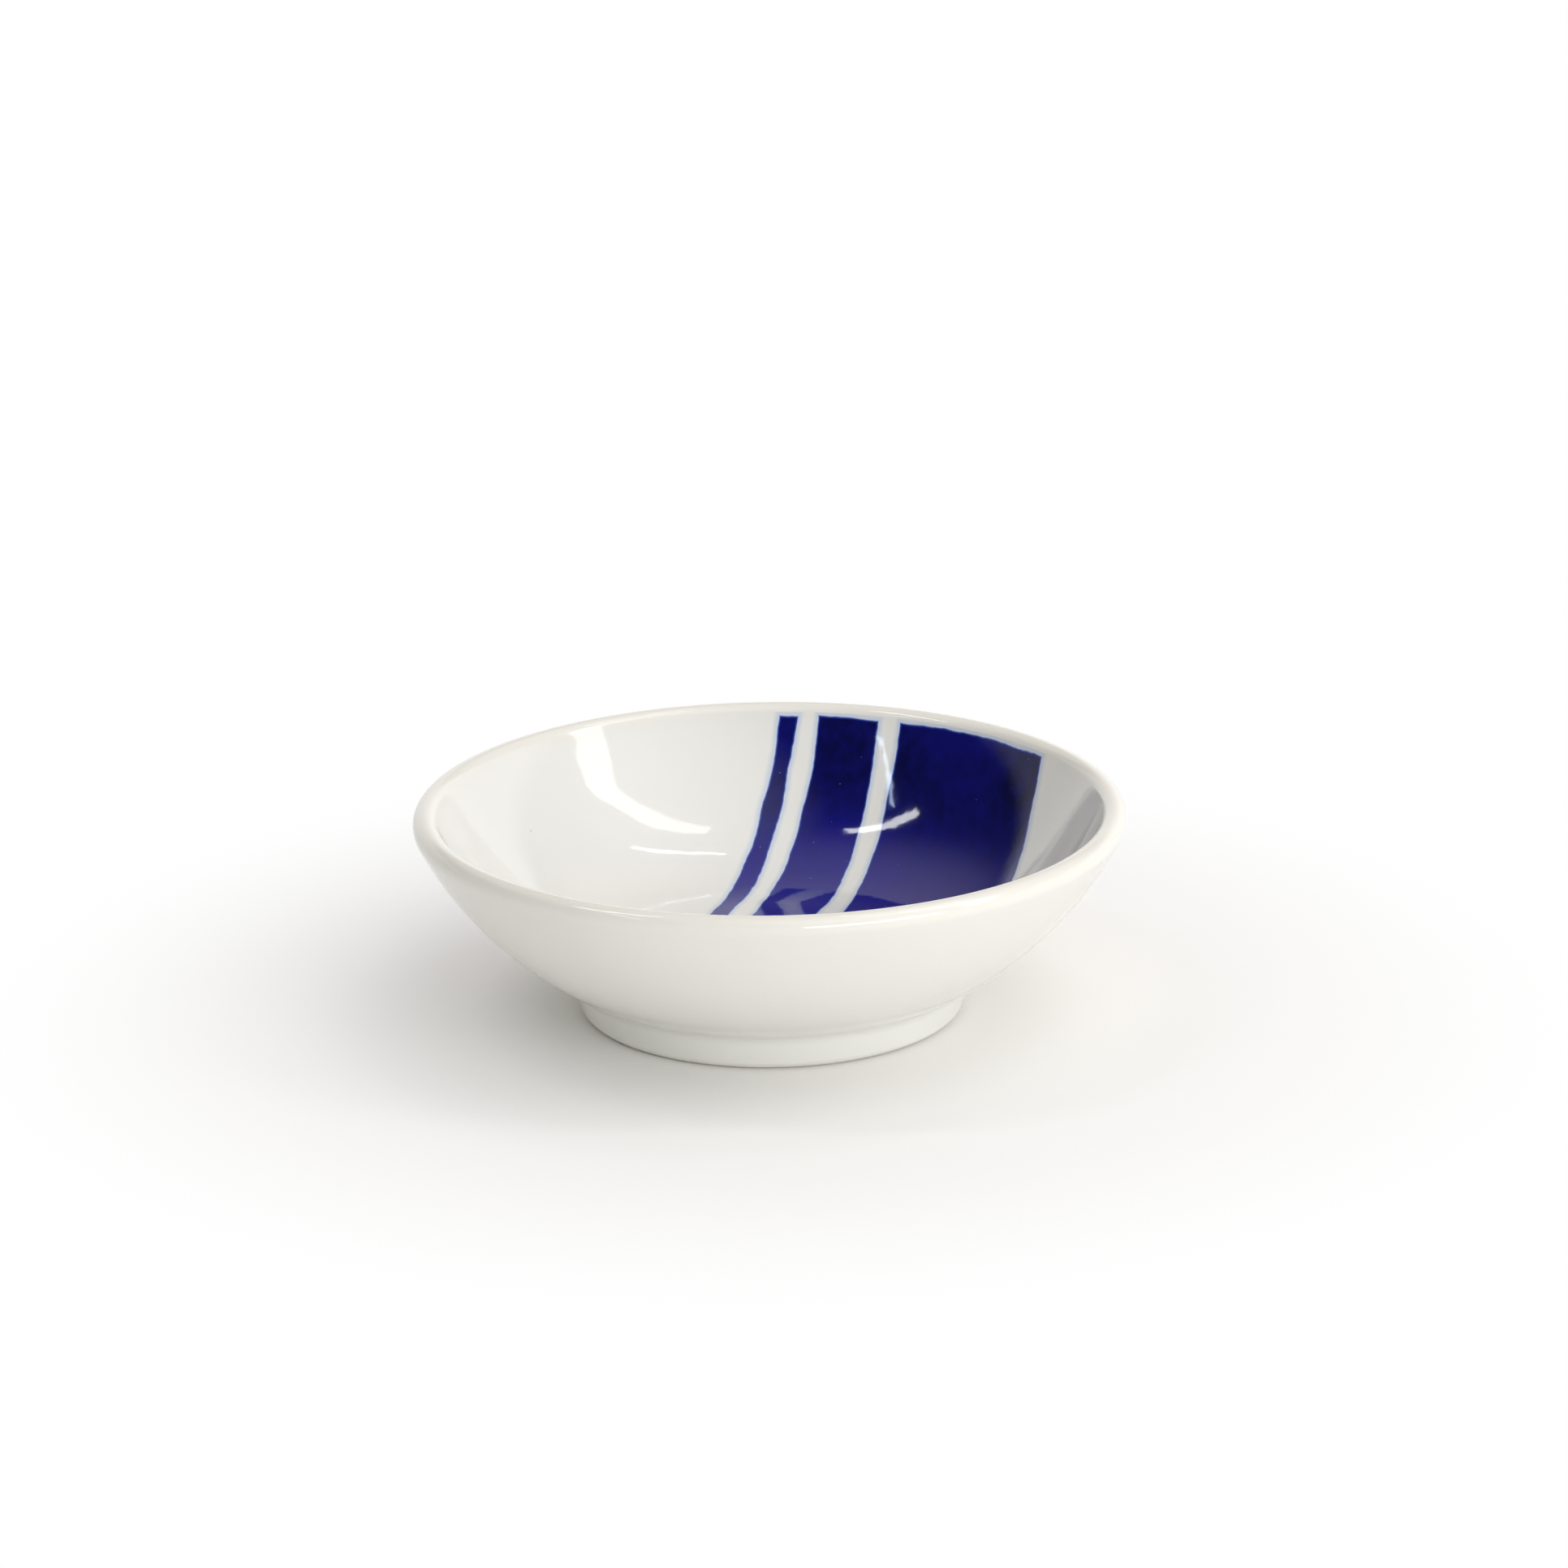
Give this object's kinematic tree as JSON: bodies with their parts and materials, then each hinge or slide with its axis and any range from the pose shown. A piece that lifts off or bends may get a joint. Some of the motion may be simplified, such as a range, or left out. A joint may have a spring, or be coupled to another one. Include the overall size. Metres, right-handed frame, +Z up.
{
  "type": "soy sauce dish",
  "caption": "Small round porcelain sauce dish with a flared wall, a rounded lip and a foot ring, and straight cobalt blue bands of graded width across its well.",
  "frame": {"origin": "centre of the dish's outline on the surface that it stands on", "axes": "+Z up along the dish's axis; the bands run across the well at 18 degrees to +Y"},
  "size_m": [0.094, 0.094, 0.028],
  "materials": {
    "glazed_porcelain": "clear gloss glaze over warm white porcelain",
    "foot_porcelain": "clear gloss glaze on the sides, bare sanded porcelain on the standing edge",
    "cobalt_underglaze": "brushed cobalt blue under a clear gloss glaze"
  },
  "bodies": {
    "root": {"bowl": "glazed_porcelain", "foot_ring": "foot_porcelain", "thin_band": "cobalt_underglaze", "middle_band": "cobalt_underglaze", "broad_band": "cobalt_underglaze"}
  },
  "joints": []
}
